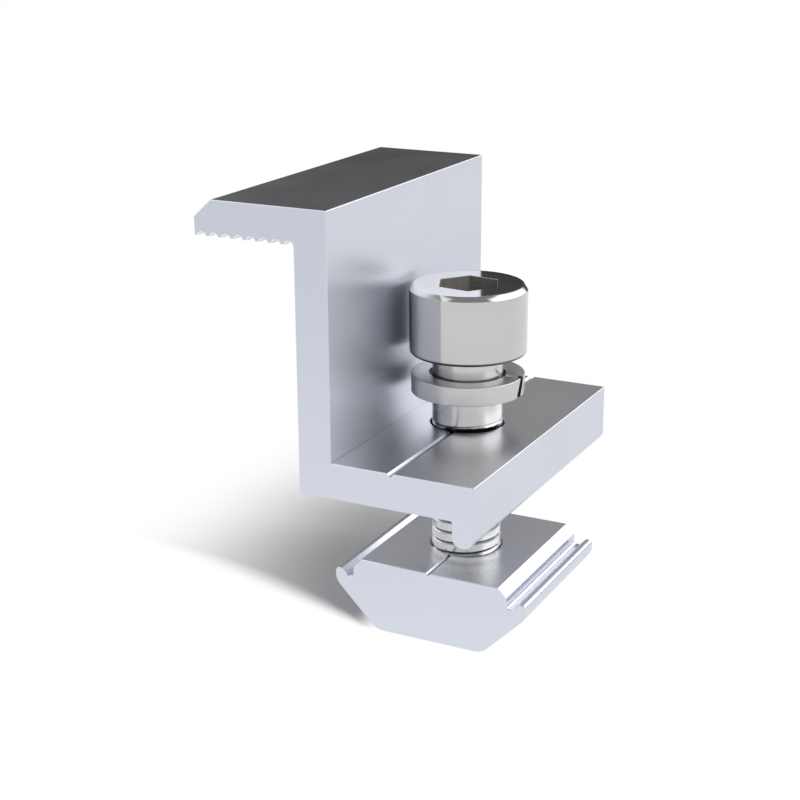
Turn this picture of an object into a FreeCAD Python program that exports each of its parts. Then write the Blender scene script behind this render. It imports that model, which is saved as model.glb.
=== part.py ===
import FreeCAD, Part
import math
import os
import Sketcher

# Solar end clamp for the last framed panel of a row: an extruded clamp body, a socket-head screw,
# a split lock washer and the channel nut that grips the rail from inside.
# X points from the jaw towards the foot's free edge, Y runs along the extrusions and Z is up.
# The origin is on the screw's axis, at the underside of the foot.

# Driving dimensions in millimetres, angles in degrees
sizes = {
    # clamp body, with the web and the foot's edge measured from the screw's axis
    "clampLength": 37.4,
    "clampHeight": 30.5,
    "axisToWeb": 6.97,
    "webThickness": 3.85,
    "lipReach": 11.9,
    "lipThickness": 3.9,
    "lipChamferRun": 2.13,
    "lipChamferDrop": 1.9,
    "footThickness": 3.97,
    "axisToEdge": 9.36,
    "ribWidth": 2.43,
    "ribDepth": 2.75,
    "ribInnerRadius": 1.05,
    "ribOuterRadius": 1.15,
    "cornerRadius": 0.15,
    "endBreak": 0.08,
    "footMarkWidth": 0.75,
    "footMarkDepth": 0.4,
    # serration under the lip
    "notchPitch": 1.495,
    "notchRadius": 0.51,
    "notchDepth": 0.41,
    "notchFromWeb": 0.55,
    "toothRadius": 0.12,
    # socket-head screw
    "screwDiameter": 7.9,
    "screwLength": 30.0,
    "tipChamfer": 0.75,
    "headDiameter": 13.0,
    "headHeight": 7.68,
    "headChamferRun": 0.45,
    "headChamferDrop": 0.53,
    "headBottomRadius": 0.3,
    "neckRadius": 0.4,
    "socketWidth": 6.2,
    "socketDepth": 4.5,
    "socketConeDepth": 1.1,
    "socketBreak": 0.12,
    "socketAngle": -6.8,
    # split lock washer
    "washerDiameter": 12.6,
    "washerThickness": 2.1,
    "washerBreak": 0.1,
    "splitGap": 0.9,
    "splitSlant": 0.95,
    "splitAngle": 0.5,
    # channel nut, with depths measured down from its top land
    "nutLength": 20.0,
    "nutHeight": 8.2,
    "nutHalfWidth": 11.62,
    "landHalfWidth": 8.35,
    "landChamfer": 1.03,
    "hookDepth": 2.91,
    "hookRadius": 0.47,
    "earInner": 10.88,
    "earDrop": 1.48,
    "earRadius": 0.45,
    "shoulderDepth": 3.06,
    "shoulderRadius": 2.0,
    "baseHalfWidth": 6.48,
    "baseRadius": 2.2,
    "boreBreak": 0.15,
    "nutMarkWidth": 0.5,
    "nutMarkDepth": 0.3,
    # radial clearances round the screw
    "threadClearance": 0.12,
    "washerClearance": 0.3,
    "holeClearance": 0.2,
    "holeBreak": 0.08,
    # where the loose pieces stand
    "washerAboveFoot": 3.7,
    "headAboveWasher": 2.35,
    "nutBelowFoot": 10.6,
}


def sketchReference(name):
    """Number that Sketcher gives to a sketch's own origin or axis."""
    return {"origin": -1, "horizontal": -1, "vertical": -2}[name]


originPoint = sketchReference("origin")
horizontalAxis = sketchReference("horizontal")
verticalAxis = sketchReference("vertical")

# Corners and rims are found again on a shape within this distance
reachTolerance = 0.001
levelTolerance = 1e-6

socketSides = 6


def makeSheet(doc):
    """Put every driving dimension in its own named cell."""
    sheet = doc.addObject("Spreadsheet::Sheet", "dims")
    for row, (name, value) in enumerate(sizes.items(), start=1):
        sheet.set(f"A{row}", name)
        sheet.set(f"B{row}", str(value))
        sheet.setAlias(f"B{row}", name)
    doc.recompute()


def addBody(doc, label):
    body = doc.addObject("PartDesign::Body", label)
    body.Label = label
    return body


def originFeature(body, role):
    return next(item for item in body.Origin.OriginFeatures if item.Role == role)


def addSketch(body, name, role):
    sketch = body.newObject("Sketcher::SketchObject", name)
    sketch.AttachmentSupport = [(originFeature(body, role), "")]
    sketch.MapMode = "FlatFace"
    return sketch


def addPolygon(sketch, corners):
    """Closed outline of straight sides, of which level and upright ones are held so."""
    count = len(corners)
    sides = [(corners[index], corners[(index + 1) % count]) for index in range(count)]
    for start, end in sides:
        sketch.addGeometry(Part.LineSegment(FreeCAD.Vector(*start, 0), FreeCAD.Vector(*end, 0)), False)
    for index, (start, end) in enumerate(sides):
        sketch.addConstraint(Sketcher.Constraint("Coincident", index, 2, (index + 1) % count, 1))
        if abs(start[1] - end[1]) < levelTolerance:
            sketch.addConstraint(Sketcher.Constraint("Horizontal", index))
        elif abs(start[0] - end[0]) < levelTolerance:
            sketch.addConstraint(Sketcher.Constraint("Vertical", index))


def addCircle(sketch, centre, radius, helper=False):
    circle = Part.Circle(FreeCAD.Vector(*centre, 0), FreeCAD.Vector(0, 0, 1), radius)
    return sketch.addGeometry(circle, helper)


def bind(sketch, constraint, formula):
    """Add a constraint whose value follows the sheet."""
    index = sketch.addConstraint(constraint)
    sketch.setExpression(f"Constraints[{index}]", formula)


def bindDistance(sketch, corners, direction, first, second, formula):
    """Tie the distance along X or Y from one corner to another, or to the origin, to the sheet."""
    axis = 0 if direction == "DistanceX" else 1
    low = 0.0 if first == originPoint else corners[first][axis]
    high = 0.0 if second == originPoint else corners[second][axis]
    bind(sketch, Sketcher.Constraint(direction, first, 1, second, 1, high - low), formula)


def holdOnAxis(sketch, corner, axis):
    sketch.addConstraint(Sketcher.Constraint("PointOnObject", corner, 1, axis))


def edgesAlongY(shape, accepts):
    """Names of the straight edges along Y whose place in the cross section is accepted."""
    names = []
    for index, edge in enumerate(shape.Edges, start=1):
        ends = [vertex.Point for vertex in edge.Vertexes]
        if len(ends) != 2:
            continue
        run = ends[1] - ends[0]
        alongY = abs(run.x) < levelTolerance and abs(run.z) < levelTolerance
        if alongY and accepts(ends[0].x, ends[0].z):
            names.append(f"Edge{index}")
    return names


def edgesAtCorners(shape, corners, chosen):
    """Names of the long edges that stand on the chosen corners of the cross section."""
    names = []
    for index in chosen:
        cornerX, cornerZ = corners[index]
        names += edgesAlongY(shape, lambda x, z: math.hypot(x - cornerX, z - cornerZ) < reachTolerance)
    return names


def circlesAt(shape, radius, height):
    """Names of the round edges about the Z axis with this radius at this height."""
    names = []
    for index, edge in enumerate(shape.Edges, start=1):
        curve = edge.Curve
        if not isinstance(curve, Part.Circle):
            continue
        offset = max(math.hypot(curve.Center.x, curve.Center.y), abs(curve.Center.z - height))
        if offset < reachTolerance and abs(curve.Radius - radius) < reachTolerance:
            names.append(f"Edge{index}")
    return names


def endFaces(shape, length):
    """Names of the two faces where the extrusion was sawn to length."""
    return [
        f"Face{index}"
        for index, face in enumerate(shape.Faces, start=1)
        if abs(abs(face.CenterOfMass.y) - length / 2) < levelTolerance
    ]


def roundEdges(doc, body, base, name, edges, formula):
    fillet = body.newObject("PartDesign::Fillet", name)
    fillet.Base = (base, edges)
    fillet.setExpression("Radius", formula)
    doc.recompute()
    return fillet


def bevelEdges(doc, body, base, name, edges, formula):
    chamfer = body.newObject("PartDesign::Chamfer", name)
    chamfer.Base = (base, edges)
    chamfer.setExpression("Size", formula)
    doc.recompute()
    return chamfer


def padBothWays(doc, body, sketch, name, formula):
    pad = body.newObject("PartDesign::Pad", name)
    pad.Profile = sketch
    pad.SideType = "Symmetric"
    pad.setExpression("Length", formula)
    doc.recompute()
    return pad


def pocketBothWays(doc, body, sketch, name):
    pocket = body.newObject("PartDesign::Pocket", name)
    pocket.Profile = sketch
    pocket.SideType = "Symmetric"
    pocket.Type = "ThroughAll"
    doc.recompute()
    return pocket


def turnAboutZ(doc, body, sketch, name, kind):
    """Revolution or Groove of a sketch about its own vertical axis."""
    turned = body.newObject(kind, name)
    turned.Profile = sketch
    turned.ReferenceAxis = (sketch, ["V_Axis"])
    turned.Angle = 360
    doc.recompute()
    return turned


def markLine(doc, body, name, top, topFormula):
    """Shallow V groove along Y over the middle of the screw's hole."""
    wide = sizes[name + "Width"] / 2
    corners = [(-wide, top), (wide, top), (0.0, top - sizes[name + "Depth"])]
    sketch = addSketch(body, name + "Section", "XZ_Plane")
    addPolygon(sketch, corners)
    holdOnAxis(sketch, 2, verticalAxis)
    bindDistance(sketch, corners, "DistanceX", 0, originPoint, f"dims.{name}Width / 2")
    bindDistance(sketch, corners, "DistanceX", originPoint, 1, f"dims.{name}Width / 2")
    bindDistance(sketch, corners, "DistanceY", 2, 0, f"dims.{name}Depth")
    bindDistance(sketch, corners, "DistanceY", originPoint, 2, f"{topFormula} - dims.{name}Depth")
    return pocketBothWays(doc, body, sketch, name)


def clampCorners():
    """Cross section of the clamp body, from the web's foot round by the jaw to the rib."""
    webRight = -sizes["axisToWeb"]
    webLeft = webRight - sizes["webThickness"]
    lipEnd = webLeft - sizes["lipReach"]
    top = sizes["clampHeight"]
    lipUnder = top - sizes["lipThickness"]
    edge = sizes["axisToEdge"]
    ribInner = edge - sizes["ribWidth"]
    return [
        (webLeft, 0.0),
        (webLeft, lipUnder),
        (lipEnd, lipUnder),
        (lipEnd, top - sizes["lipChamferDrop"]),
        (lipEnd + sizes["lipChamferRun"], top),
        (webRight, top),
        (webRight, sizes["footThickness"]),
        (edge, sizes["footThickness"]),
        (edge, -sizes["ribDepth"]),
        (ribInner, -sizes["ribDepth"]),
        (ribInner, 0.0),
    ]


def clampSection(body, corners):
    sketch = addSketch(body, "clampSection", "XZ_Plane")
    addPolygon(sketch, corners)
    holdOnAxis(sketch, 0, horizontalAxis)
    bindDistance(sketch, corners, "DistanceX", 5, originPoint, "dims.axisToWeb")
    bindDistance(sketch, corners, "DistanceX", 0, 5, "dims.webThickness")
    bindDistance(sketch, corners, "DistanceX", 2, 1, "dims.lipReach")
    bindDistance(sketch, corners, "DistanceX", 2, 4, "dims.lipChamferRun")
    bindDistance(sketch, corners, "DistanceX", originPoint, 7, "dims.axisToEdge")
    bindDistance(sketch, corners, "DistanceX", 9, 8, "dims.ribWidth")
    bindDistance(sketch, corners, "DistanceY", originPoint, 5, "dims.clampHeight")
    bindDistance(sketch, corners, "DistanceY", 1, 5, "dims.lipThickness")
    bindDistance(sketch, corners, "DistanceY", 3, 4, "dims.lipChamferDrop")
    bindDistance(sketch, corners, "DistanceY", originPoint, 6, "dims.footThickness")
    bindDistance(sketch, corners, "DistanceY", 8, originPoint, "dims.ribDepth")
    return sketch


def clampBlank(doc, body, corners):
    """The extrusion with its rib and long edges rounded; the web's corner under the lip stays sharp."""
    section = clampSection(body, corners)
    blank = padBothWays(doc, body, section, "clampExtrusion", "dims.clampLength")
    inside = edgesAtCorners(blank.Shape, corners, [9])
    blank = roundEdges(doc, body, blank, "ribInside", inside, "dims.ribInnerRadius")
    outside = edgesAtCorners(blank.Shape, corners, [8])
    blank = roundEdges(doc, body, blank, "ribOutside", outside, "dims.ribOuterRadius")
    others = edgesAtCorners(blank.Shape, corners, [0, 2, 3, 4, 5, 6, 7, 10])
    return roundEdges(doc, body, blank, "clampLongEdges", others, "dims.cornerRadius")


def serration(doc, body):
    """Round-bottomed notches along the lip's underside, repeated from the web to the lip's end."""
    webLeft = -sizes["axisToWeb"] - sizes["webThickness"]
    lipUnder = sizes["clampHeight"] - sizes["lipThickness"]
    firstNotch = webLeft - sizes["notchFromWeb"]
    centreHeight = lipUnder + sizes["notchDepth"] - sizes["notchRadius"]
    sketch = addSketch(body, "notchSection", "XZ_Plane")
    circle = addCircle(sketch, (firstNotch, centreHeight), sizes["notchRadius"])
    across = Sketcher.Constraint("DistanceX", circle, 3, originPoint, 1, -firstNotch)
    bind(sketch, across, "dims.axisToWeb + dims.webThickness + dims.notchFromWeb")
    upward = Sketcher.Constraint("DistanceY", originPoint, 1, circle, 3, centreHeight)
    bind(sketch, upward, "dims.clampHeight - dims.lipThickness + dims.notchDepth - dims.notchRadius")
    bind(sketch, Sketcher.Constraint("Radius", circle, sizes["notchRadius"]), "dims.notchRadius")
    notch = pocketBothWays(doc, body, sketch, "notch")
    row = body.newObject("PartDesign::LinearPattern", "notchRow")
    row.Originals = [notch]
    row.Direction = (sketch, ["H_Axis"])
    row.Reversed = True
    row.Mode = "Spacing"
    row.setExpression("Offset", "dims.notchPitch")
    room = "dims.lipReach - dims.notchFromWeb - dims.notchRadius"
    row.setExpression("Occurrences", f"1 + floor(({room}) / dims.notchPitch)")
    body.Tip = row
    doc.recompute()
    lipEnd = webLeft - sizes["lipReach"] + sizes["cornerRadius"] + reachTolerance

    def onTooth(x, z):
        return abs(z - lipUnder) < levelTolerance and lipEnd < x < firstNotch

    return roundEdges(doc, body, row, "toothTips", edgesAlongY(row.Shape, onTooth), "dims.toothRadius")


def footHole(doc, body):
    """Clearance hole through the foot for the screw, with both rims broken."""
    radius = sizes["screwDiameter"] / 2 + sizes["holeClearance"]
    sketch = addSketch(body, "holeSection", "XY_Plane")
    circle = addCircle(sketch, (0.0, 0.0), radius)
    sketch.addConstraint(Sketcher.Constraint("Coincident", circle, 3, originPoint, 1))
    bound = Sketcher.Constraint("Radius", circle, radius)
    bind(sketch, bound, "dims.screwDiameter / 2 + dims.holeClearance")
    hole = body.newObject("PartDesign::Pocket", "footHole")
    hole.Profile = sketch
    hole.Type = "ThroughAll"
    hole.Reversed = True
    doc.recompute()
    rims = circlesAt(hole.Shape, radius, 0.0) + circlesAt(hole.Shape, radius, sizes["footThickness"])
    return bevelEdges(doc, body, hole, "holeRims", rims, "dims.holeBreak")


def makeClampBody(doc):
    body = addBody(doc, "clamp_body")
    clampBlank(doc, body, clampCorners())
    serration(doc, body)
    drilled = footHole(doc, body)
    sawn = endFaces(drilled.Shape, sizes["clampLength"])
    bevelEdges(doc, body, drilled, "clampSawCuts", sawn, "dims.endBreak")
    markLine(doc, body, "footMark", sizes["footThickness"], "dims.footThickness")
    return body


def screwBlank(doc, body):
    """Turned screw with its head above the origin and its shank below."""
    head = sizes["headDiameter"] / 2
    shank = sizes["screwDiameter"] / 2
    top = sizes["headHeight"]
    end = -sizes["screwLength"]
    corners = [
        (0.0, top),
        (head - sizes["headChamferRun"], top),
        (head, top - sizes["headChamferDrop"]),
        (head, 0.0),
        (shank, 0.0),
        (shank, end),
        (0.0, end),
    ]
    sketch = addSketch(body, "screwSection", "XZ_Plane")
    addPolygon(sketch, corners)
    holdOnAxis(sketch, 0, verticalAxis)
    holdOnAxis(sketch, 3, horizontalAxis)
    bindDistance(sketch, corners, "DistanceX", 1, 3, "dims.headChamferRun")
    bindDistance(sketch, corners, "DistanceX", originPoint, 3, "dims.headDiameter / 2")
    bindDistance(sketch, corners, "DistanceX", originPoint, 4, "dims.screwDiameter / 2")
    bindDistance(sketch, corners, "DistanceY", originPoint, 0, "dims.headHeight")
    bindDistance(sketch, corners, "DistanceY", 2, 0, "dims.headChamferDrop")
    bindDistance(sketch, corners, "DistanceY", 5, originPoint, "dims.screwLength")
    blank = turnAboutZ(doc, body, sketch, "screwTurned", "PartDesign::Revolution")
    rim = circlesAt(blank.Shape, head, 0.0)
    blank = roundEdges(doc, body, blank, "headBottom", rim, "dims.headBottomRadius")
    blank = roundEdges(doc, body, blank, "neck", circlesAt(blank.Shape, shank, 0.0), "dims.neckRadius")
    return bevelEdges(doc, body, blank, "tip", circlesAt(blank.Shape, shank, end), "dims.tipChamfer")


def socketHexagon(body):
    """Hexagon inside a helper circle, with one corner on the horizontal axis."""
    reach = sizes["socketWidth"] / math.sqrt(3)
    turn = 2 * math.pi / socketSides
    corners = [(reach * math.cos(turn * k), reach * math.sin(turn * k)) for k in range(socketSides)]
    sketch = addSketch(body, "socketSection", "XY_Plane")
    sketch.setExpression(".AttachmentOffset.Base.z", "dims.headHeight")
    for index, corner in enumerate(corners):
        following = corners[(index + 1) % socketSides]
        side = Part.LineSegment(FreeCAD.Vector(*corner, 0), FreeCAD.Vector(*following, 0))
        sketch.addGeometry(side, False)
    circle = addCircle(sketch, (0.0, 0.0), reach, helper=True)
    for index in range(socketSides):
        sketch.addConstraint(Sketcher.Constraint("Coincident", index, 2, (index + 1) % socketSides, 1))
        sketch.addConstraint(Sketcher.Constraint("PointOnObject", index, 1, circle))
    for index in range(socketSides - 1):
        sketch.addConstraint(Sketcher.Constraint("Equal", index, index + 1))
    sketch.addConstraint(Sketcher.Constraint("Coincident", circle, 3, originPoint, 1))
    holdOnAxis(sketch, 0, horizontalAxis)
    bind(sketch, Sketcher.Constraint("Radius", circle, reach), "dims.socketWidth / sqrt(3)")
    return sketch


def socketFloor(doc, body):
    """Cone that the drill leaves below the hexagon."""
    floor = sizes["headHeight"] - sizes["socketDepth"]
    corners = [(0.0, floor), (sizes["socketWidth"] / 2, floor), (0.0, floor - sizes["socketConeDepth"])]
    sketch = addSketch(body, "drillPoint", "XZ_Plane")
    addPolygon(sketch, corners)
    holdOnAxis(sketch, 0, verticalAxis)
    bindDistance(sketch, corners, "DistanceX", originPoint, 1, "dims.socketWidth / 2")
    bindDistance(sketch, corners, "DistanceY", originPoint, 0, "dims.headHeight - dims.socketDepth")
    bindDistance(sketch, corners, "DistanceY", 2, 0, "dims.socketConeDepth")
    return turnAboutZ(doc, body, sketch, "socketFloor", "PartDesign::Groove")


def straightEdgesAt(shape, height):
    """Names of the straight edges that lie level at this height."""
    names = []
    for index, edge in enumerate(shape.Edges, start=1):
        level = all(abs(vertex.Z - height) < levelTolerance for vertex in edge.Vertexes)
        if level and isinstance(edge.Curve, Part.Line):
            names.append(f"Edge{index}")
    return names


def makeCapScrew(doc):
    body = addBody(doc, "cap_screw")
    screwBlank(doc, body)
    socket = body.newObject("PartDesign::Pocket", "socket")
    socket.Profile = socketHexagon(body)
    socket.setExpression("Length", "dims.socketDepth")
    doc.recompute()
    drilled = socketFloor(doc, body)
    mouth = straightEdgesAt(drilled.Shape, sizes["headHeight"])
    bevelEdges(doc, body, drilled, "socketMouth", mouth, "dims.socketBreak")
    seat = "dims.footThickness + dims.washerAboveFoot + dims.washerThickness + dims.headAboveWasher"
    body.setExpression("Placement.Base.z", seat)
    body.setExpression("Placement.Rotation.Angle", "dims.socketAngle")
    return body


def washerRing(doc, body):
    """Flat ring of rectangular section with its four rims broken."""
    inner = sizes["screwDiameter"] / 2 + sizes["washerClearance"]
    outer = sizes["washerDiameter"] / 2
    thick = sizes["washerThickness"]
    corners = [(inner, 0.0), (outer, 0.0), (outer, thick), (inner, thick)]
    sketch = addSketch(body, "ringSection", "XZ_Plane")
    addPolygon(sketch, corners)
    holdOnAxis(sketch, 0, horizontalAxis)
    innerFormula = "dims.screwDiameter / 2 + dims.washerClearance"
    bindDistance(sketch, corners, "DistanceX", originPoint, 0, innerFormula)
    bindDistance(sketch, corners, "DistanceX", originPoint, 1, "dims.washerDiameter / 2")
    bindDistance(sketch, corners, "DistanceY", 0, 3, "dims.washerThickness")
    ring = turnAboutZ(doc, body, sketch, "ring", "PartDesign::Revolution")
    rims = []
    for radius in (inner, outer):
        for height in (0.0, thick):
            rims += circlesAt(ring.Shape, radius, height)
    return bevelEdges(doc, body, ring, "ringRims", rims, "dims.washerBreak")


def washerSplit(doc, body):
    """Slanted cut through one side of the ring."""
    half = sizes["splitGap"] / 2
    lean = sizes["splitSlant"] / 2
    thick = sizes["washerThickness"]
    corners = [(-half - lean, 0.0), (half - lean, 0.0), (half + lean, thick), (lean - half, thick)]
    sketch = addSketch(body, "splitSection", "YZ_Plane")
    addPolygon(sketch, corners)
    holdOnAxis(sketch, 0, horizontalAxis)
    bindDistance(sketch, corners, "DistanceX", 0, 1, "dims.splitGap")
    bindDistance(sketch, corners, "DistanceX", 3, 2, "dims.splitGap")
    bindDistance(sketch, corners, "DistanceX", 0, 3, "dims.splitSlant")
    bindDistance(sketch, corners, "DistanceX", originPoint, 2, "(dims.splitGap + dims.splitSlant) / 2")
    bindDistance(sketch, corners, "DistanceY", 0, 3, "dims.washerThickness")
    split = body.newObject("PartDesign::Pocket", "split")
    split.Profile = sketch
    split.Type = "ThroughAll"
    split.Reversed = True
    doc.recompute()
    return split


def makeLockWasher(doc):
    body = addBody(doc, "lock_washer")
    washerRing(doc, body)
    washerSplit(doc, body)
    body.setExpression("Placement.Base.z", "dims.footThickness + dims.washerAboveFoot")
    body.setExpression("Placement.Rotation.Angle", "dims.splitAngle")
    return body


def nutCorners():
    """Right half of the nut's cross section, from the middle of its top land down to its base."""
    wall = sizes["landHalfWidth"] + sizes["landChamfer"]
    return [
        (0.0, 0.0),
        (sizes["landHalfWidth"], 0.0),
        (wall, -sizes["landChamfer"]),
        (wall, -sizes["hookDepth"]),
        (sizes["earInner"], -sizes["earDrop"]),
        (sizes["nutHalfWidth"], -sizes["earDrop"]),
        (sizes["nutHalfWidth"], -sizes["shoulderDepth"]),
        (sizes["baseHalfWidth"], -sizes["nutHeight"]),
        (0.0, -sizes["nutHeight"]),
    ]


def nutSection(body, corners):
    sketch = addSketch(body, "nutSection", "XZ_Plane")
    addPolygon(sketch, corners)
    sketch.addConstraint(Sketcher.Constraint("Coincident", 0, 1, originPoint, 1))
    bindDistance(sketch, corners, "DistanceX", originPoint, 1, "dims.landHalfWidth")
    bindDistance(sketch, corners, "DistanceX", 1, 2, "dims.landChamfer")
    bindDistance(sketch, corners, "DistanceX", originPoint, 4, "dims.earInner")
    bindDistance(sketch, corners, "DistanceX", originPoint, 5, "dims.nutHalfWidth")
    bindDistance(sketch, corners, "DistanceX", originPoint, 7, "dims.baseHalfWidth")
    bindDistance(sketch, corners, "DistanceY", 2, 1, "dims.landChamfer")
    bindDistance(sketch, corners, "DistanceY", 3, originPoint, "dims.hookDepth")
    bindDistance(sketch, corners, "DistanceY", 4, originPoint, "dims.earDrop")
    bindDistance(sketch, corners, "DistanceY", 6, originPoint, "dims.shoulderDepth")
    bindDistance(sketch, corners, "DistanceY", 7, originPoint, "dims.nutHeight")
    return sketch


def nutBlank(doc, body, corners):
    """Extruded right half, rounded along its length and then mirrored."""
    section = nutSection(body, corners)
    blank = padBothWays(doc, body, section, "nutExtrusion", "dims.nutLength")
    roundings = {
        "hook": [3],
        "ear": [5],
        "shoulder": [6],
        "base": [7],
        "corner": [1, 2, 4],
    }
    for name, chosen in roundings.items():
        edges = edgesAtCorners(blank.Shape, corners, chosen)
        blank = roundEdges(doc, body, blank, name + "Rounding", edges, f"dims.{name}Radius")
    whole = body.newObject("PartDesign::Mirrored", "nutHalves")
    whole.TransformMode = "Whole shape"
    whole.MirrorPlane = (originFeature(body, "YZ_Plane"), [""])
    body.Tip = whole
    doc.recompute()


def nutBore(doc, body):
    """Hole of the nut's thread with a short cone at each end."""
    radius = sizes["screwDiameter"] / 2 + sizes["threadClearance"]
    cone = sizes["boreBreak"]
    base = -sizes["nutHeight"]
    corners = [
        (0.0, 0.0),
        (radius + cone, 0.0),
        (radius, -cone),
        (radius, base + cone),
        (radius + cone, base),
        (0.0, base),
    ]
    sketch = addSketch(body, "boreSection", "XZ_Plane")
    addPolygon(sketch, corners)
    sketch.addConstraint(Sketcher.Constraint("Coincident", 0, 1, originPoint, 1))
    radiusFormula = "dims.screwDiameter / 2 + dims.threadClearance"
    bindDistance(sketch, corners, "DistanceX", originPoint, 2, radiusFormula)
    bindDistance(sketch, corners, "DistanceX", 2, 1, "dims.boreBreak")
    bindDistance(sketch, corners, "DistanceX", 3, 4, "dims.boreBreak")
    bindDistance(sketch, corners, "DistanceY", 2, 1, "dims.boreBreak")
    bindDistance(sketch, corners, "DistanceY", 4, 3, "dims.boreBreak")
    bindDistance(sketch, corners, "DistanceY", 5, originPoint, "dims.nutHeight")
    return turnAboutZ(doc, body, sketch, "nutBore", "PartDesign::Groove")


def makeChannelNut(doc):
    body = addBody(doc, "channel_nut")
    nutBlank(doc, body, nutCorners())
    bored = nutBore(doc, body)
    sawn = endFaces(bored.Shape, sizes["nutLength"])
    bevelEdges(doc, body, bored, "nutSawCuts", sawn, "dims.endBreak")
    markLine(doc, body, "nutMark", 0.0, "0")
    body.setExpression("Placement.Base.z", "-dims.nutBelowFoot")
    return body


def checkDocument(doc, bodies):
    """Stop before anything is written if a feature failed or a piece isn't one valid solid."""
    for item in doc.Objects:
        if "Invalid" in item.State or "Error" in item.State:
            raise RuntimeError(f"{item.Label} failed: {item.State}")
    for body in bodies:
        shape = body.Shape
        if shape.isNull() or not shape.isValid() or len(shape.Solids) != 1:
            raise RuntimeError(f"{body.Label} is not one valid solid")


def main():
    doc = FreeCAD.newDocument("endClamp")
    makeSheet(doc)
    bodies = [makeClampBody(doc), makeCapScrew(doc), makeLockWasher(doc), makeChannelNut(doc)]
    doc.recompute()
    checkDocument(doc, bodies)
    os.makedirs("parts", exist_ok=True)
    for body in bodies:
        body.Shape.exportStep(f"parts/{body.Label}.step")
        print(f"{body.Label}: {body.Shape.Volume:.1f} mm3")


main()
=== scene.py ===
import math

import bmesh
import bpy
import numpy as np
from mathutils import Matrix, Vector


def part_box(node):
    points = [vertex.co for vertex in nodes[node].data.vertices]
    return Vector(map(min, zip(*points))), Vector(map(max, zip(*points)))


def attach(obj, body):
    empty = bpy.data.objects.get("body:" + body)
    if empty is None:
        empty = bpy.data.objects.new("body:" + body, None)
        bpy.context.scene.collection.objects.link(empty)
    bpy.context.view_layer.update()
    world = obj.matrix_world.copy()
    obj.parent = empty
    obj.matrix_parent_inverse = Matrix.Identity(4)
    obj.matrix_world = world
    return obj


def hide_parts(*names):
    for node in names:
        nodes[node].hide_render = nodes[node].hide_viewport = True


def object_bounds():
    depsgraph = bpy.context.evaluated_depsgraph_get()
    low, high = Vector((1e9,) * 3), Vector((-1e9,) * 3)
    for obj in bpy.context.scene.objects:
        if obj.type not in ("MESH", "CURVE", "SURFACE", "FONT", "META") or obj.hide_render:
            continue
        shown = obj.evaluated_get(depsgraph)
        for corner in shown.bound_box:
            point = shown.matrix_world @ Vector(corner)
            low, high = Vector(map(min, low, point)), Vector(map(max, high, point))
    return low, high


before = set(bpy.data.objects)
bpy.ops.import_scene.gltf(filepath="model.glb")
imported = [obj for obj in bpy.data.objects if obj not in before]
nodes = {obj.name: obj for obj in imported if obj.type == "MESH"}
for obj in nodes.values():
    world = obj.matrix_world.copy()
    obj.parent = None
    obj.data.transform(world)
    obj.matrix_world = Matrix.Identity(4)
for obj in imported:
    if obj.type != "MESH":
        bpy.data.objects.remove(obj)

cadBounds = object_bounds()
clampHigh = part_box("clamp_body")[1]
screwLow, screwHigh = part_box("cap_screw")
washerLow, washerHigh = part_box("lock_washer")
nutLow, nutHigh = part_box("channel_nut")
mm = 0.001


# shader wiring
# a value on its way through a node tree; sums and products of values add Math nodes
class Signal:
    def __init__(self, bench, socket):
        self.bench = bench
        self.socket = socket

    def maths(self, operation, first, second=0.0):
        return self.bench.node("ShaderNodeMath", {"operation": operation}, {0: first, 1: second})

    def __add__(self, other):
        return self.maths("ADD", self, other)

    def __radd__(self, other):
        return self.maths("ADD", other, self)

    def __sub__(self, other):
        return self.maths("SUBTRACT", self, other)

    def __rsub__(self, other):
        return self.maths("SUBTRACT", other, self)

    def __mul__(self, other):
        return self.maths("MULTIPLY", self, other)

    def __rmul__(self, other):
        return self.maths("MULTIPLY", other, self)

    def __truediv__(self, other):
        return self.maths("DIVIDE", self, other)

    def __pow__(self, other):
        return self.maths("POWER", self, other)

    def __abs__(self):
        return self.maths("ABSOLUTE", self)

    def atMost(self, other):
        return self.maths("MINIMUM", self, other)

    def atLeast(self, other):
        return self.maths("MAXIMUM", self, other)

    # 0 up to low, 1 from high on, and a soft step between
    def step(self, low, high):
        ramp = {"interpolation_type": "SMOOTHSTEP"}
        return self.bench.node("ShaderNodeMapRange", ramp, {0: self, 1: low, 2: high})

    # 1 from low to high, with a soft rise below and a soft fall above
    def band(self, low, high, rise, fall):
        return self.step(low - rise, low) * (1.0 - self.step(high, high + fall))

    # a noise stretched over the whole range from 0 to 1
    def spread(self):
        return self.step(0.35, 0.65)


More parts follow.
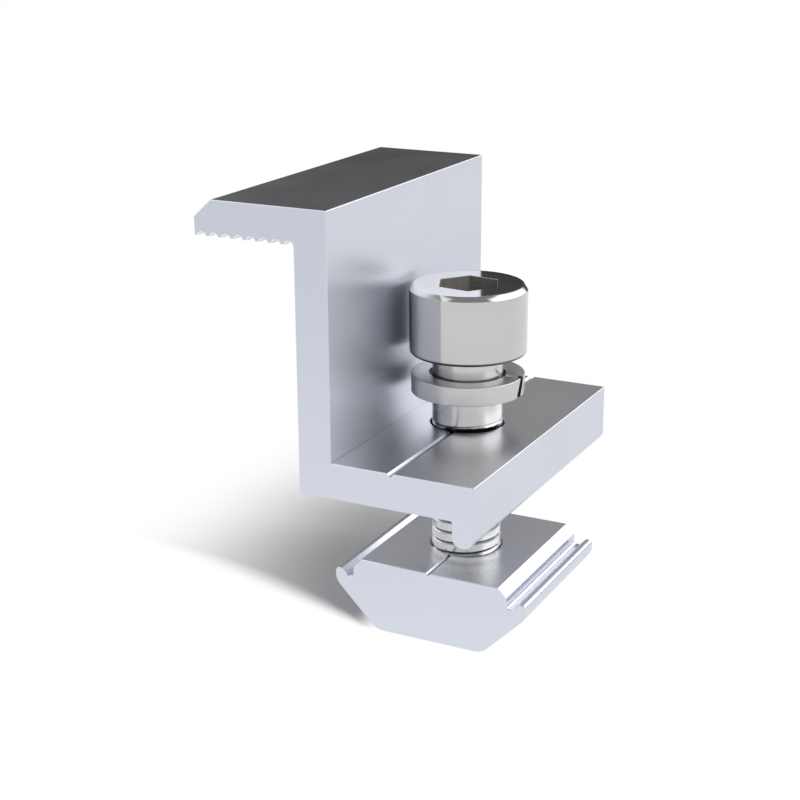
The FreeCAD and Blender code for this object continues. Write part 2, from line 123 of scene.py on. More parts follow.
# one node tree, emptied, and the one way to put a node in it
class Bench:
    def __init__(self, tree):
        self.tree = tree
        tree.nodes.clear()

    def node(self, kind, settings=None, sockets=None, out=0):
        made = self.tree.nodes.new(kind)
        for name, value in (settings or {}).items():
            setattr(made, name, value)
        for name, value in (sockets or {}).items():
            if isinstance(value, Signal):
                self.tree.links.new(value.socket, made.inputs[name])
            else:
                made.inputs[name].default_value = value
        return Signal(self, made.outputs[out])

    # low colour at share 0, high colour at share 1
    def mixColour(self, share, low, high):
        settings = {"data_type": "RGBA"}
        return self.node("ShaderNodeMix", settings, {0: share, 6: low, 7: high}, out=2)

    def noise(self, vector, scale, detail=3.0, roughness=0.5):
        sockets = {"Vector": vector, "Scale": scale, "Detail": detail, "Roughness": roughness}
        return self.node("ShaderNodeTexNoise", {}, sockets)

    def vector(self, x, y, z):
        return self.node("ShaderNodeCombineXYZ", {}, {0: x, 1: y, 2: z})

    # x, y and z of a vector
    def split(self, vector):
        parted = self.node("ShaderNodeSeparateXYZ", {}, {0: vector})
        return [Signal(self, output) for output in parted.socket.node.outputs]

    # where a point lies on its piece
    def place(self):
        return self.node("ShaderNodeTexCoord", {}, {}, out="Object")

    # x, y and z of the direction that a face looks in
    def facing(self):
        return self.split(self.node("ShaderNodeNewGeometry", {}, {}, out="Normal"))

    # a metal's shader from what varies over the surface; heights are in millimetres
    def metal(self, colour, metallic, rough, height):
        bump = self.node("ShaderNodeBump", {}, {"Strength": 1.0, "Distance": mm, "Height": height})
        sockets = {"Base Color": colour, "Metallic": metallic, "Roughness": rough, "Normal": bump}
        return self.node("ShaderNodeBsdfPrincipled", {}, sockets)

    # the tree's end
    def finish(self, shader, kind="ShaderNodeOutputMaterial"):
        output = self.tree.nodes.new(kind)
        self.tree.links.new(shader.socket, output.inputs["Surface"])


# an empty material and its bench
def newMaterial(name):
    material = bpy.data.materials.new(name)
    material.use_nodes = True
    return material, Bench(material.node_tree)


def grey(level):
    return (level, level, level, 1.0)


# finish of the clamp's body; bands are (low, high, soft rise, soft fall)
clampLook = {
    "colour": (0.655, 0.677, 0.748, 1.0),
    "shade": (0.625, 0.647, 0.724, 1.0),
    "cloudSize": 13.0 * mm,
    "metallic": 0.95,
    "roughness": 0.30,
    "roughnessSpread": 0.05,
    "roughnessLeast": 0.05,
    "upFacing": (0.90, 0.97),
    "topPaintedLight": (0.705, 0.709, 0.737, 1.0),        # painted light: faces that look up are lighter and more neutral
    "topPaintedShare": 0.9,
    "topPaintedBands": 0.2,
    "lipHeights": (18.0 * mm, 27.0 * mm),
    "lipTopPaintedShade": (0.560, 0.564, 0.588, 1.0),        # painted shade: the lip's top is darker; it is also smoother
    "lipSmooth": 0.05,
    "endFacing": (0.80, 0.95),
    "endPaintedHeights": (-3.0 * mm, 27.0 * mm),
    "endPaintedLow": (0.700, 0.728, 0.820, 1.0),           # the cut ends, from low to high, with painted light: lighter low down, darker higher up
    "endPaintedHigh": (0.622, 0.648, 0.738, 1.0),
    "endShare": 0.7,                # the rest follows the saw marks
    "endRougher": 0.04,
    "linePitch": 0.34 * mm,         # die lines along the extrusion
    "lineLength": 30.0 * mm,
    "lineHeight": 0.0012,
    "bandScale": 0.16,              # broad bands along it, against the lines' scale
    "bandShare": 0.15,
    "sawPitch": 0.45 * mm,          # saw marks across the cut ends
    "sawLength": 50.0 * mm,
    "sawHeight": 0.0030,
    "grainSize": 0.45 * mm,
    "grainHeight": 0.0010,
    "halfLength": clampHigh.y,
    "wearAndHighlightBand": 0.30 * mm,          # wear and painted highlight: a brighter strip along the cut ends
    "wearAndHighlightColour": (0.74, 0.76, 0.82, 1.0),
    "wearAndHighlightShare": 0.6,
    "paintedShadeColour": (0.10, 0.10, 0.11, 1.0),
    "paintedShadeEdges": (0.01 * mm, 0.05 * mm),
    "paintedShadePlaces": [                 # share, x and z of painted shade: low in the groove and in the corner
        (0.85, (-0.44 * mm, 0.44 * mm), (3.45 * mm, 3.73 * mm)),
        (0.20, (-6.97 * mm, -6.81 * mm), (3.96 * mm, 4.14 * mm)),
    ],
    "webFace": (-7.05 * mm, -6.95 * mm, 0.05 * mm, 0.05 * mm),
    "webHeights": (18.0 * mm, 27.0 * mm),
    "webRougher": 0.09,             # the web is rougher low down
    # painted highlight: the jaw's serrations are turned near white
    "jawHeights": (26.45 * mm, 27.15 * mm, 0.02 * mm, 0.02 * mm),
    "jawInner": (-10.90 * mm, -10.88 * mm),
    "jawPaintedHighlight": (0.95, 0.955, 0.97, 1.0),
    "jawSmooth": 0.10,
}
# finish of the nut, which differs in tone and has its own groove and ears
nutLook = dict(
    clampLook,
    colour=(0.675, 0.698, 0.770, 1.0),
    shade=(0.64, 0.663, 0.740, 1.0),
    cloudSize=9.0 * mm,
    roughness=0.28,
    topPaintedLight=(0.672, 0.688, 0.735, 1.0),
    endPaintedHeights=(-18.0 * mm, -11.0 * mm),
    endPaintedLow=(0.715, 0.742, 0.832, 1.0),
    endPaintedHigh=(0.700, 0.728, 0.820, 1.0),
    halfLength=nutHigh.y,
    # painted shade low in the nut's groove and along its ears
    paintedShadePlaces=[
        (0.85, (-0.29 * mm, 0.29 * mm), (-11.0 * mm, -10.80 * mm)),
        (0.75, (-11.59 * mm, -11.37 * mm), (-12.6 * mm, -12.0 * mm)),
        (0.22, (-11.35 * mm, -10.81 * mm), (-12.9 * mm, -12.0 * mm)),
    ],
    webFace=None,
    jawHeights=None,
)


# extruded aluminium: fine die lines along Y, saw marks across the cut ends, faint clouds of tone
def makeExtrusionMaterial(name, look):
    material, bench = newMaterial(name)
    place = bench.place()
    x, y, z = bench.split(place)
    facing = bench.facing()
    cutEnd = abs(facing[1]).step(*look["endFacing"])
    sides = 1.0 - cutEnd
    facingUp = facing[2].step(*look["upFacing"])
    onLip = z.step(*look["lipHeights"])

    across = 1.0 / look["linePitch"]
    lineSpace = bench.vector(x * across, y * (1.0 / look["lineLength"]), z * across)
    lines = bench.noise(lineSpace, 1.0, roughness=0.55)
    bands = bench.noise(lineSpace, look["bandScale"], detail=2.0)
    sawSpace = bench.vector(x * (1.0 / look["sawLength"]), 0.0, z * (1.0 / look["sawPitch"]))
    saw = bench.noise(sawSpace, 1.0, roughness=0.6)
    cloud = bench.noise(place, 1.0 / look["cloudSize"])
    grain = bench.noise(place, 1.0 / look["grainSize"], detail=2.0)
    mottle = cloud * (1.0 - look["bandShare"]) + bands * look["bandShare"]
    height = (lines - 0.5) * sides * look["lineHeight"]
    height = height + (saw - 0.5) * cutEnd * look["sawHeight"]
    height = height + (grain - 0.5) * look["grainHeight"]
    rough = (mottle - 0.5) * (look["roughnessSpread"] * 2.0) + look["roughness"]

    colour = bench.mixColour(mottle.spread(), look["shade"], look["colour"])
    # painted light and shade: faces that look up are lighter and more neutral, and the lip's tops darker
    paintedTopTone = bench.mixColour(onLip, look["topPaintedLight"], look["lipTopPaintedShade"])
    colour = bench.mixColour(facingUp * (look["topPaintedShare"] + bands * look["topPaintedBands"]), colour, paintedTopTone)
    # wear and painted highlight: a brighter strip along the cut ends
    wearAndHighlight = abs(y).step(look["halfLength"] - look["wearAndHighlightBand"], look["halfLength"])
    wearAndHighlight = wearAndHighlight * sides * grain.spread()
    colour = bench.mixColour(wearAndHighlight * look["wearAndHighlightShare"], colour, look["wearAndHighlightColour"])
    # painted light on the cut ends: lighter low down, darker higher up
    ends = bench.mixColour(z.step(*look["endPaintedHeights"]), look["endPaintedLow"], look["endPaintedHigh"])
    paintedEndMask = cutEnd * (look["endShare"] + saw * (1.0 - look["endShare"]))
    colour = bench.mixColour(paintedEndMask, colour, ends)

    # painted shade: near black low in the groove and in the corner
    crisp, soft = look["paintedShadeEdges"]
    for share, width, heights in look["paintedShadePlaces"]:
        inside = x.band(*width, crisp, crisp) * z.band(*heights, crisp, soft)
        colour = bench.mixColour(inside * sides * share, colour, look["paintedShadeColour"])
    if look["webFace"]:
        lowWeb = x.band(*look["webFace"]) * (1.0 - z.step(*look["webHeights"]))
        rough = rough + lowWeb * sides * look["webRougher"]
    if look["jawHeights"]:
        # painted highlight: the jaw's serrations near white, and smoother
        paintedJawHighlight = z.band(*look["jawHeights"]) * (1.0 - x.step(*look["jawInner"])) * sides
        colour = bench.mixColour(paintedJawHighlight, colour, look["jawPaintedHighlight"])
        rough = rough - paintedJawHighlight * look["jawSmooth"]
    rough = rough + cutEnd * look["endRougher"] - facingUp * onLip * look["lipSmooth"]
    rough = rough.atLeast(look["roughnessLeast"])
    bench.finish(bench.metal(colour, look["metallic"], rough, height))
    return material


# finish of the screw
screwLook = {
    "colour": (0.575, 0.572, 0.565, 1.0),
    "shade": (0.545, 0.543, 0.535, 1.0),
    "cloudSize": 5.0 * mm,
    "metallic": 0.94,
    "roughness": 0.10,
    "roughnessSpread": 0.03,
    "roughnessLeast": 0.03,
    "ringPitch": 0.13 * mm,         # turning marks
    "ringDrift": 25.0 * mm,
    "ringHeight": 0.0006,
    "ringShare": 0.4,
    "grainSize": 0.25 * mm,
    "socketRadius": (3.72 * mm, 3.75 * mm),         # the forged socket
    "socketHeights": (13.8 * mm, 19.78 * mm, 0.3 * mm, 0.01 * mm),
    "socketColour": (0.20, 0.185, 0.165, 1.0),
    "socketShade": (0.15, 0.14, 0.125, 1.0),
    "socketSpread": (0.3, 0.7),
    "socketRoughness": 0.55,
    "socketMottle": 0.2,
    "socketHeight": 0.004,
    "socketDull": 0.7,
    "paintedShadeDark": (0.05, 0.048, 0.045, 1.0),        # painted shade deep in the thread and under the head
    "paintedShadeShare": 0.9,
    "downFacing": (0.02, 0.25),
    "underHead": (12.0 * mm, 12.6 * mm, 0.01 * mm, 0.01 * mm),
    "threadRadius": (3.70 * mm, 3.86 * mm),
    "threadTop": (5.4 * mm, 5.5 * mm),
    "shankColour": (0.65, 0.65, 0.645, 1.0),        # the shank is lighter and rougher than the head
    "shankShare": 0.8,
    "shankTop": (11.0 * mm, 11.8 * mm),
    "shankRougher": 0.13,
    "splitSide": None,
}
# finish of the washer, whose split has faces painted dark as shade
washerLook = dict(
    screwLook,
    colour=grey(0.60),
    shade=grey(0.56),
    metallic=0.78,
    roughness=0.34,
    ringPitch=0.20 * mm,
    ringHeight=0.0015,
    socketRadius=None,
    splitSide=(5.60 * mm, 5.65 * mm),
    splitFacing=(0.80, 0.90),
    splitPaintedShare=0.95,
)


# turned steel: fine rings round the axis; the socket is forged, duller and darker; painted shade lies deep
# in the thread, under the head and on the faces of the washer's split
def makeTurnedMaterial(name, look):
    material, bench = newMaterial(name)
    place = bench.place()
    x, y, z = bench.split(place)
    facing = bench.facing()
    radius = (x * x + y * y) ** 0.5
    fine = 1.0 / look["ringPitch"]
    ringSpace = bench.vector(radius * fine, x * (1.0 / look["ringDrift"]), z * fine)
    rings = bench.noise(ringSpace, 1.0, roughness=0.6)
    cloud = bench.noise(place, 1.0 / look["cloudSize"])
    mottle = cloud * (1.0 - look["ringShare"]) + rings * look["ringShare"]
    height = (rings - 0.5) * look["ringHeight"]
    colour = bench.mixColour(cloud.spread(), look["shade"], look["colour"])
    rough = (mottle - 0.5) * (look["roughnessSpread"] * 2.0) + look["roughness"]
    metallic = look["metallic"]

    if look["socketRadius"]:
        grain = bench.noise(place, 1.0 / look["grainSize"])
        inside = (1.0 - radius.step(*look["socketRadius"])) * z.band(*look["socketHeights"])
        speckle = grain.step(*look["socketSpread"])
        forged = bench.mixColour(speckle, look["socketShade"], look["socketColour"])
        colour = bench.mixColour(inside, colour, forged)
        duller = look["socketRoughness"] - look["roughness"]
        rough = rough + inside * (duller + (grain - 0.5) * look["socketMottle"])
        height = height + inside * (grain - 0.5) * look["socketHeight"]
        metallic = metallic - inside * look["socketDull"]
        # painted shade under the head and deep in the thread's groove
        under = (0.0 - facing[2]).step(*look["downFacing"]) * z.band(*look["underHead"])
        deepPaintedShade = (1.0 - radius.step(*look["threadRadius"])) * (1.0 - z.step(*look["threadTop"]))
        colour = bench.mixColour(under.atLeast(deepPaintedShade) * look["paintedShadeShare"], colour, look["paintedShadeDark"])
        shank = (1.0 - z.step(*look["shankTop"])) * (1.0 - deepPaintedShade)
        colour = bench.mixColour(shank * look["shankShare"], colour, look["shankColour"])
        rough = rough + shank * look["shankRougher"]
    if look["splitSide"]:
        # painted shade on the faces of the washer's split
        paintedSplitShade = abs(facing[1]).step(*look["splitFacing"]) * x.step(*look["splitSide"])
        colour = bench.mixColour(paintedSplitShade * look["splitPaintedShare"], colour, look["paintedShadeDark"])
    bench.finish(bench.metal(colour, metallic, rough.atLeast(look["roughnessLeast"]), height))
    return material


# surfaces
skin = {"weld": 0.0002 * mm, "thinnest": 0.00001 * mm, "sharpAngle": 28.0}


# a grid of points becomes a skin of quads; its first and last columns meet, and meeting points are welded
def skinFromGrid(name, points, material, sharpAngle=skin["sharpAngle"]):
    rows, columns = points.shape[:2]
    number = np.arange(rows * columns).reshape(rows, columns)
    corners = [number[:-1, :-1], number[:-1, 1:], number[1:, 1:], number[1:, :-1]]
    quads = np.stack(corners, axis=-1)
    mesh = bpy.data.meshes.new(name)
    mesh.from_pydata(points.reshape(-1, 3).tolist(), [], quads.reshape(-1, 4).tolist())
    work = bmesh.new()
    work.from_mesh(mesh)
    bmesh.ops.remove_doubles(work, verts=work.verts, dist=skin["weld"])
    bmesh.ops.dissolve_degenerate(work, edges=work.edges, dist=skin["thinnest"])
    bmesh.ops.recalc_face_normals(work, faces=work.faces)
    work.to_mesh(mesh)
    work.free()
    mesh.polygons.foreach_set("use_smooth", np.ones(len(mesh.polygons), dtype=bool))
    mesh.set_sharp_from_angle(angle=math.radians(sharpAngle))
    mesh.materials.append(material)
    piece = bpy.data.objects.new(name, mesh)
    bpy.context.scene.collection.objects.link(piece)
    return piece


# from round the axis to x, y, z: each point has a radius, a height and its column's angle
def polarPoints(radii, heights, angles):
    radii = np.broadcast_to(radii, heights.shape)
    return np.stack([radii * np.cos(angles), radii * np.sin(angles), heights], axis=-1)


# cubic from 0 to 1: 3 times the square less 2 times the cube, flat outside
def softStep(value):
    value = np.clip(value, 0.0, 1.0)
    return value * value * (3 - 2 * value)


# the same soft step, from 0 at low to 1 at high
def between(value, low, high):
    return softStep((value - low) / (high - low))


# part of a circle in a profile, between two directions in degrees, as radius and height rows: centre plus
# size x cosine and size x sine of the direction
def arcRows(centreRadius, centreHeight, size, start, end, count):
    turn = np.radians(np.linspace(start, end, count))
    return list(zip(centreRadius + size * np.cos(turn), centreHeight + size * np.sin(turn)))


# screw
screw = {
    "columns": 145,
    "screwEnd": screwLow.z,
    "headTop": screwHigh.z,
    "headBottom": 12.12 * mm,
    "headRadius": 6.5 * mm,
    "headChamferRun": 0.45 * mm,
    "headChamferDrop": 0.53 * mm,
    "edgeRound": 0.07 * mm,
    "edgeIn": 1 / 2,            # how far the rounded edges' centres sit in and down, against their radius
    "edgeDown": 1 / 3,
    "edgePast": 8.0,            # degrees by which the rounded edges stop short of the chamfer
    "edgeCount": 4,
    "bottomRound": 0.38 * mm,
    "bottomCount": 7,
    "neckRound": 0.40 * mm,
    "neckCount": 8,
    "shankRadius": 3.95 * mm,
    "tipRadius": 3.2 * mm,
    "tipInner": 0.96,
    "topRows": (0.80, 0.93),            # further rows on the flats, as shares and distances
    "sideRows": (0.3, 0.5, 0.7, 0.9),
    "underRows": (1.2 * mm, 0.3 * mm),
    "shankRows": (1.4 * mm, 0.6 * mm),
    "socketAngle": -6.8,        # degrees
    "socketApothem": 3.10 * mm,
    "socketDepth": 4.5 * mm,
    "socketCone": 1.1 * mm,
    "coneRows": ((0.0, 1.0), (0.5, 0.5), (0.999, 0.0)),         # shares of the apothem and of the cone
    "socketMouth": 0.05 * mm,
    "socketRow": 2.0 * mm,
    "threadStart": 4.9 * mm,
    "threadFade": 0.7 * mm,
    "wornSide": -56.0,          # direction in which it is worn, in degrees
    "reliefHeights": (0.6 * mm, 4.22 * mm),         # worn where it enters the foot
    "reliefEdges": (0.6 * mm, 0.06 * mm),
    "reliefTilt": 0.22 * mm,
    "reliefSpread": (0.42, 0.97),
    "reliefDepth": 0.50 * mm,
    "wideHeight": -10.50 * mm,          # and the groove is wider where it enters the nut
    "wideReach": (0.45 * mm, 0.70 * mm),
    "wideSpread": (0.50, 0.85),
    "wideScale": 1.60,
}
thread = {
    "pitch": 1.25 * mm,
    "grooveHalfWidth": 0.19 * mm,
    "flankAngle": 30.0,
    "rootRound": 0.04 * mm,
    "crestRound": 0.04 * mm,
    "grooveHeight": -9.09 * mm,         # height of the groove's middle at angle 0
    "rowOffsets": (0.0, 0.025, 0.05, 0.09, 0.15, 0.19, 0.22, 0.25, 0.30),      # mm from the middle
    "clearance": 0.06 * mm,
}


# depth of the groove at a distance from its middle: two straight flanks, rounded at root and crest by
# square roots of the distance squared plus the rounding squared
def grooveDepth(offset):
    reach = np.sqrt(offset ** 2 + thread["rootRound"] ** 2)
    flank = (thread["grooveHalfWidth"] - reach) / math.tan(math.radians(thread["flankAngle"]))
    return (flank + np.sqrt(flank ** 2 + thread["crestRound"] ** 2)) / 2


# distances from the groove's middle at which a turn of thread has its rows, closer where it bends
def turnOffsets():
    half = np.array(thread["rowOffsets"]) * mm
    return np.concatenate([[-thread["pitch"] / 2], -half[:0:-1], half])


# rows that follow the helix: height = row's offset + pitch x angle / full turn, with the groove's depth;
# they start a turn below and end a turn above what is asked for
def helixRows(low, high, angles, wider=1.0):
    pitch = thread["pitch"]
    turns = np.arange(math.floor((low - thread["grooveHeight"]) / pitch) - 1,
                      math.ceil((high - thread["grooveHeight"]) / pitch) + 2)
    offsets = turnOffsets()
    flat = (turns[:, None] * pitch + offsets[None, :]).ravel()
    depths = np.tile(grooveDepth(offsets / wider), len(turns))
    climb = pitch * (angles / (2 * math.pi))
    heights = thread["grooveHeight"] + flat[:, None] + climb[None, :]
    return heights, np.broadcast_to(depths[:, None], heights.shape)


# distance from the axis to a hexagon's side: its apothem over the cosine of the angle to the side's middle
def hexagonReach(angles, apothem):
    sixth = math.pi / 3
    fromSide = np.mod(angles - math.radians(screw["socketAngle"]), sixth) - sixth / 2
    return apothem / np.cos(fromSide)


# head profile from the socket's rim over the top and down to the shank, flats joined by rounded edges
def headRows():
    radius = screw["headRadius"]
    top = screw["headTop"]
    bottom = screw["headBottom"]
    shank = screw["shankRadius"]
    edge = screw["edgeRound"]
    under = screw["bottomRound"]
    neck = screw["neckRound"]
    past = screw["edgePast"]
    count = screw["edgeCount"]
    lean = math.degrees(math.atan2(screw["headChamferDrop"], screw["headChamferRun"]))
    shoulder = radius - screw["headChamferRun"]
    upperIn = shoulder - edge * screw["edgeIn"]
    lowerDown = top - screw["headChamferDrop"] - edge * screw["edgeDown"]
    rows = [(shoulder * share, top) for share in screw["topRows"]]
    rows += arcRows(upperIn, top - edge, edge, 90, 90 - lean + past, count)
    rows += arcRows(radius - edge, lowerDown, edge, 90 - lean - past, 0, count)
    rows += [(radius, top - (top - bottom) * share) for share in screw["sideRows"]]
    rows += arcRows(radius - under, bottom + under, under, 0, -90, screw["bottomCount"])
    rows += [(shank + neck + gap, bottom) for gap in screw["underRows"]]
    rows += arcRows(shank + neck, bottom - neck, neck, 90, 180, screw["neckCount"])
    rows += [(shank, screw["threadStart"] + gap) for gap in screw["shankRows"]]
    return rows


# socket and head, from the middle of the socket's floor outwards: a cone, a hexagon and a round profile
def headGrid(angles):
    top = screw["headTop"]
    floor = top - screw["socketDepth"]
    cone = screw["socketCone"]
    apothem = screw["socketApothem"]
    mouth = screw["socketMouth"]
    coneRows = [(apothem * out, floor - cone * down) for out, down in screw["coneRows"]]
    hexRows = [(apothem, floor), (apothem, top - screw["socketRow"]), (apothem, top - mouth)]
    hexRows += [(apothem + mouth, top)]
    rows = [(np.full(len(angles), reach), height) for reach, height in coneRows]
    rows += [(hexagonReach(angles, reach), height) for reach, height in hexRows]
    rows += [(np.full(len(angles), reach), height) for reach, height in headRows()]
    radii = np.array([reach for reach, height in rows])
    heights = np.array([np.full(len(angles), height) for reach, height in rows])
    return radii, heights


# shank, from the thread's start down to the tip: its radius less the groove or the worn place, whichever
# is deeper, and inside the tip's cone
def shankGrid(angles):
    start = screw["threadStart"]
    end = screw["screwEnd"]
    wanted, depths = helixRows(end, start, angles)
    wanted, depths = wanted[::-1], depths[::-1]
    wideDepths = helixRows(end, start, angles, screw["wideScale"])[1][::-1]
    held = np.clip(wanted, end, start)
    fade = softStep((start - held) / screw["threadFade"])
    towards = np.cos(angles - math.radians(screw["wornSide"]))

    low, high = screw["reliefHeights"]
    lowEdge, highEdge = screw["reliefEdges"]
    rim = high + screw["reliefTilt"] * (towards - 0.5)
    relief = softStep((rim - held) / highEdge) * softStep((held - low) / lowEdge)
    relief = relief * between(towards, *screw["reliefSpread"]) * screw["reliefDepth"]
    wide = 1.0 - between(np.abs(held - screw["wideHeight"]), *screw["wideReach"])
    wide = wide * between(towards, *screw["wideSpread"])
    depths = np.maximum((depths + (wideDepths - depths) * wide) * fade, relief)
    radii = np.minimum(screw["shankRadius"] - depths, screw["tipRadius"] + (held - end))
    return radii, held


# the head's rows, the shank's rows below them and a flat end at the tip, turned round the axis
def makeScrew(material):
    count = screw["columns"]
    angles = math.radians(screw["socketAngle"]) + np.linspace(0.0, 2 * math.pi, count)
    headRadii, headHeights = headGrid(angles)
    shankRadii, shankHeights = shankGrid(angles)
    closing = np.outer([screw["tipInner"], 0.0], np.full(count, screw["tipRadius"]))
    radii = np.vstack([headRadii, shankRadii, closing])
    heights = np.vstack([headHeights, shankHeights, np.full((2, count), screw["screwEnd"])])
    print("screw", radii.shape)
    return skinFromGrid("screw_turned", polarPoints(radii, heights, angles), material)


# washer
washer = {
    "columns": 220,
    "inner": 4.25 * mm,
    "outer": 6.30 * mm,
    "bottom": washerLow.z,
    "thickness": washerHigh.z - washerLow.z,
    "edgeRound": 0.11 * mm,
    "edgeCount": 6,
    "sharpAngle": 40.0,
    "gap": 0.9 * mm,
    "slant": 0.95 * mm,
    "gapAngle": 0.5,
}


# rounded rectangle of the ring's section, as radius and height points running round it
def washerSection():
    soft = washer["edgeRound"]
    low = washer["bottom"]
    high = low + washer["thickness"]
    inner = washer["inner"]
    outer = washer["outer"]
    level = (low + high) / 2
    middle = (inner + outer) / 2
    count = washer["edgeCount"]
    points = arcRows(outer - soft, low + soft, soft, -90, 0, count) + [(outer, level)]
    points += arcRows(outer - soft, high - soft, soft, 0, 90, count) + [(middle, high)]
    points += arcRows(inner + soft, high - soft, soft, 90, 180, count) + [(inner, level)]
    points += arcRows(inner + soft, low + soft, soft, 180, 270, count) + [(middle, low)]
    return np.array(points + points[:1])


# the section is carried round from one face of the slanted cut to the other: each point's first and last
# angles are the arcsines of its distance from the cut's middle plane over its radius
def makeWasher(material):
    section = washerSection()
    radius = section[:, 0]
    height = section[:, 1]
    lean = washer["slant"] * ((height - washer["bottom"]) / washer["thickness"] - 0.5)
    first = np.arcsin((lean + washer["gap"] / 2) / radius)
    last = 2 * math.pi + np.arcsin((lean - washer["gap"] / 2) / radius)
    share = np.linspace(0.0, 1.0, washer["columns"])[:, None]
    angles = first + (last - first) * share + math.radians(washer["gapAngle"])
    ring = polarPoints(radius, np.broadcast_to(height, angles.shape), angles)
    start = np.broadcast_to(ring[0].mean(axis=0), ring[:1].shape)
    stop = np.broadcast_to(ring[-1].mean(axis=0), ring[:1].shape)
    points = np.concatenate([start, ring, stop])
    print("washer", points.shape)
    return skinFromGrid("washer_split", points, material, washer["sharpAngle"])


# nut thread
nutThread = {
    "columns": 121,
    "inset": 0.20 * mm,         # from the nut's top and from its underside
    "wall": 4.066 * mm,
    "fade": 0.5 * mm,
}


# inside skin with a ridge that stands in the screw's groove, and a plain wall behind it: its radius is
# the shank's plus the clearance, less the groove's depth without the clearances
def makeNutThread(material):
    count = nutThread["columns"]
    top = nutHigh.z - nutThread["inset"]
    bottom = nutLow.z + nutThread["inset"]
    angles = np.linspace(0.0, 2 * math.pi, count)
    wanted, depths = helixRows(bottom, top, angles)
    held = np.clip(wanted, bottom, top)
    ends = np.minimum(held - bottom, top - held)
    ridge = np.maximum(depths - 2 * thread["clearance"], 0.0) * softStep(ends / nutThread["fade"])
    inside = screw["shankRadius"] + thread["clearance"] - ridge
    wall = np.full((2, count), nutThread["wall"])
    back = np.outer([top, bottom], np.ones(count))
    radii = np.vstack([inside, wall, inside[:1]])
    heights = np.vstack([held, back, held[:1]])
    print("nut thread", radii.shape)
    return skinFromGrid("nut_thread", polarPoints(radii, heights, angles), material)


# camera, at the photograph's angle
view = {
    "azimuth": 27.267,
    "elevation": 18.169,
    "roll": -0.290,
    "place": (69.98 * mm, -152.21 * mm, 61.39 * mm),
    "lens": 71.19,
    "sensor": 36.0,
    "nearest": 0.005,
}


# back points from the object to the camera, by azimuth and elevation; right and up are turned by the roll
def makeCamera():
    azimuth = math.radians(view["azimuth"])
    elevation = math.radians(view["elevation"])
    roll = math.radians(view["roll"])
    level = math.cos(elevation)
    back = Vector((math.sin(azimuth) * level, -math.cos(azimuth) * level, math.sin(elevation)))
    right = Vector((math.cos(azimuth), math.sin(azimuth), 0.0))
    up = back.cross(right)
    turnedRight = right * math.cos(roll) + up * math.sin(roll)
    turnedUp = up * math.cos(roll) - right * math.sin(roll)
    data = bpy.data.cameras.new("viewCamera")
    data.lens = view["lens"]
    data.sensor_width = view["sensor"]
    data.clip_start = view["nearest"]
    camera = bpy.data.objects.new("viewCamera", data)
    bpy.context.scene.collection.objects.link(camera)
    axes = Matrix((turnedRight, turnedUp, back)).transposed()
    camera.matrix_world = Matrix.Translation(Vector(view["place"])) @ axes.to_4x4()
    bpy.context.scene.camera = camera


# light path: camera, glossy and transmission rays, which see the white background
def cameraRays(bench):
    kinds = ("Is Camera Ray", "Is Glossy Ray", "Is Transmission Ray")
    return [bench.node("ShaderNodeLightPath", {}, {}, out=kind) for kind in kinds]


# floor; the shadow on it fades out over these distances from the screw
studioFloor = {
    "drop": 0.03 * mm,          # under the nut
    "size": 6.0,
    "colour": grey(0.86),
    "paintedShadowColour": grey(0.60),           # painted shadow: darker board further back
    "paintedShadowReach": (10.5 * mm, 20.0 * mm),
    "fadeLeft": (18.0 * mm, 50.0 * mm),
    "fadeRight": (-11.0 * mm, -6.0 * mm),
    "fadeBack": (40.0 * mm, 70.0 * mm),
    "fadeFront": (9.2 * mm, 10.2 * mm),
    "corner": (-7.9 * mm, -9.7 * mm),           # the shadow's front edge runs left from here
    "edgeTurn": 19.5,           # degrees
    "edgeSoft": 0.8 * mm,
    "edgeSofter": 0.10,         # softer by this share of the way
}


# floor: lit as plain white board near the object, and pure white farther out for what looks at it
def makeFloor():
    half = studioFloor["size"] / 2
    height = cadBounds[0].z - studioFloor["drop"]
    corners = [(-half, -half, height), (half, -half, height), (half, half, height), (-half, half, height)]
    mesh = bpy.data.meshes.new("studioFloor")
    mesh.from_pydata(corners, [], [(0, 1, 2, 3)])
    floor = bpy.data.objects.new("studioFloor", mesh)
    bpy.context.scene.collection.objects.link(floor)
    material, bench = newMaterial("studioFloor")
    x, y = bench.split(bench.place())[:2]
    far = (0.0 - x).step(*studioFloor["fadeLeft"])
    far = far.atLeast(x.step(*studioFloor["fadeRight"])).atLeast(y.step(*studioFloor["fadeBack"]))
    far = far.atLeast((0.0 - y).step(*studioFloor["fadeFront"]))
    turn = math.radians(studioFloor["edgeTurn"])
    toLeft = studioFloor["corner"][0] - x
    toFront = studioFloor["corner"][1] - y
    ahead = toFront * math.cos(turn) + toLeft * math.sin(turn)
    spread = (toLeft * studioFloor["edgeSofter"]).atLeast(0.0) + studioFloor["edgeSoft"]
    camera, glossy, transmission = cameraRays(bench)
    seen = (camera + glossy + transmission).atMost(1.0)
    far = far.atLeast((ahead / spread).step(-1.0, 1.0)) * seen
    # painted shadow: the board darker further back
    deepPaintedShade = y.step(*studioFloor["paintedShadowReach"])
    tint = bench.mixColour(deepPaintedShade, studioFloor["colour"], studioFloor["paintedShadowColour"])
    board = bench.node("ShaderNodeBsdfDiffuse", {}, {"Color": tint})
    white = bench.node("ShaderNodeEmission", {}, {"Color": grey(1.0), "Strength": 1.0})
    upside = bench.node("ShaderNodeMixShader", {}, {0: far, 1: board, 2: white})
    below = bench.node("ShaderNodeNewGeometry", {}, {}, out="Backfacing")
    clear = bench.node("ShaderNodeBsdfTransparent")
    bench.finish(bench.node("ShaderNodeMixShader", {}, {0: below, 1: upside, 2: clear}))
    mesh.materials.append(material)


# lamp, in metres and watts
studioLamp = {"place": (1.35, -0.44, 1.69), "size": 2.2, "power": 58.0}


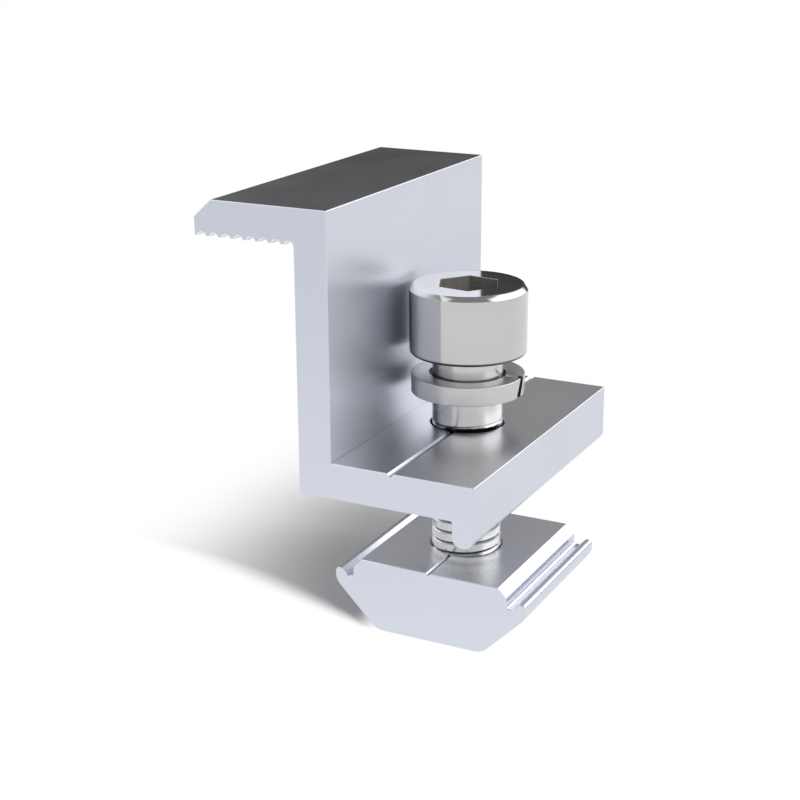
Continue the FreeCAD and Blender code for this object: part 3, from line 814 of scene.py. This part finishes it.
# one large soft lamp high at the right, aimed at the origin; metal doesn't mirror it
def makeLamp():
    data = bpy.data.lights.new("keyLamp", "AREA")
    data.shape = "RECTANGLE"
    data.size = studioLamp["size"]
    data.size_y = studioLamp["size"]
    data.energy = studioLamp["power"]
    lamp = bpy.data.objects.new("keyLamp", data)
    lamp.visible_glossy = False
    bpy.context.scene.collection.objects.link(lamp)
    place = Vector(studioLamp["place"])
    aim = (-place).to_track_quat("-Z", "Y").to_matrix().to_4x4()
    lamp.matrix_world = Matrix.Translation(place) @ aim


# room; heights are z of the direction looked in, from -1 to 1
studioRoom = {
    "darkLevel": 0.01,
    "level": 0.50,
    "rise": (0.225, 0.43),
    "ceiling": (0.62, 0.85),
    "ceilingShade": 0.45,
    "ambient": 0.30,            # what matt surfaces get
    "flattest": 0.0001,
    "lights": [         # level, direction, outer and inner half width, heights at its foot and at its top
        (1.9, 38.0, (52.0, 36.0), (0.05, 0.20), (0.80, 0.90)),
        (1.0, 188.0, (64.0, 46.0), (0.05, 0.20), (0.84, 0.93)),
        (0.9, -62.0, (75.0, 45.0), (-1.2, -1.1), (0.55, 0.75)),         # down to the very bottom
    ],
}


# room that the metal mirrors: dark behind and low, with soft lights at the right, the left and the front
def makeRoom():
    world = bpy.data.worlds.new("studioRoom")
    bpy.context.scene.world = world
    world.use_nodes = True
    bench = Bench(world.node_tree)
    x, y, z = bench.split(bench.node("ShaderNodeTexCoord", {}, {}, out="Generated"))
    level = (x * x + y * y).atLeast(studioRoom["flattest"]) ** 0.5
    dark = studioRoom["darkLevel"]
    glow = z.step(*studioRoom["rise"]) * (studioRoom["level"] - dark) + dark
    glow = glow * (1.0 - z.step(*studioRoom["ceiling"]) * studioRoom["ceilingShade"])
    for strength, direction, halfWidths, foot, top in studioRoom["lights"]:
        turn = math.radians(direction)
        outer, inner = [math.cos(math.radians(half)) for half in halfWidths]
        towards = (x * math.cos(turn) + y * math.sin(turn)) / level
        glow = glow + towards.step(outer, inner) * z.step(*foot) * (1.0 - z.step(*top)) * strength
    camera, glossy, transmission = cameraRays(bench)
    other = (1.0 - camera - glossy - transmission).atLeast(0.0)
    strength = camera + (glossy + transmission).atMost(1.0) * glow + other * studioRoom["ambient"]
    shader = bench.node("ShaderNodeBackground", {}, {"Color": grey(1.0), "Strength": strength})
    bench.finish(shader, "ShaderNodeOutputWorld")


# a CAD node's own material gives way to a finish
def setMaterial(node, material):
    mesh = nodes[node].data
    mesh.materials.clear()
    mesh.materials.append(material)


clampFinish = makeExtrusionMaterial("clampAnodised", clampLook)
nutFinish = makeExtrusionMaterial("nutMillFinish", nutLook)
screwFinish = makeTurnedMaterial("screwTurnedSteel", screwLook)
washerFinish = makeTurnedMaterial("washerSpringSteel", washerLook)
setMaterial("clamp_body", clampFinish)
setMaterial("channel_nut", nutFinish)
setMaterial("cap_screw", screwFinish)
setMaterial("lock_washer", washerFinish)
print("finishes made")

screwPiece = makeScrew(screwFinish)
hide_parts("cap_screw")
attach(screwPiece, "cap_screw")
washerPiece = makeWasher(washerFinish)
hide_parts("lock_washer")
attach(washerPiece, "lock_washer")
threadPiece = makeNutThread(nutFinish)
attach(threadPiece, "channel_nut")
print("pieces made")

makeCamera()
makeFloor()
makeRoom()
makeLamp()
bpy.context.scene.view_settings.view_transform = "Standard"
print("studio made")
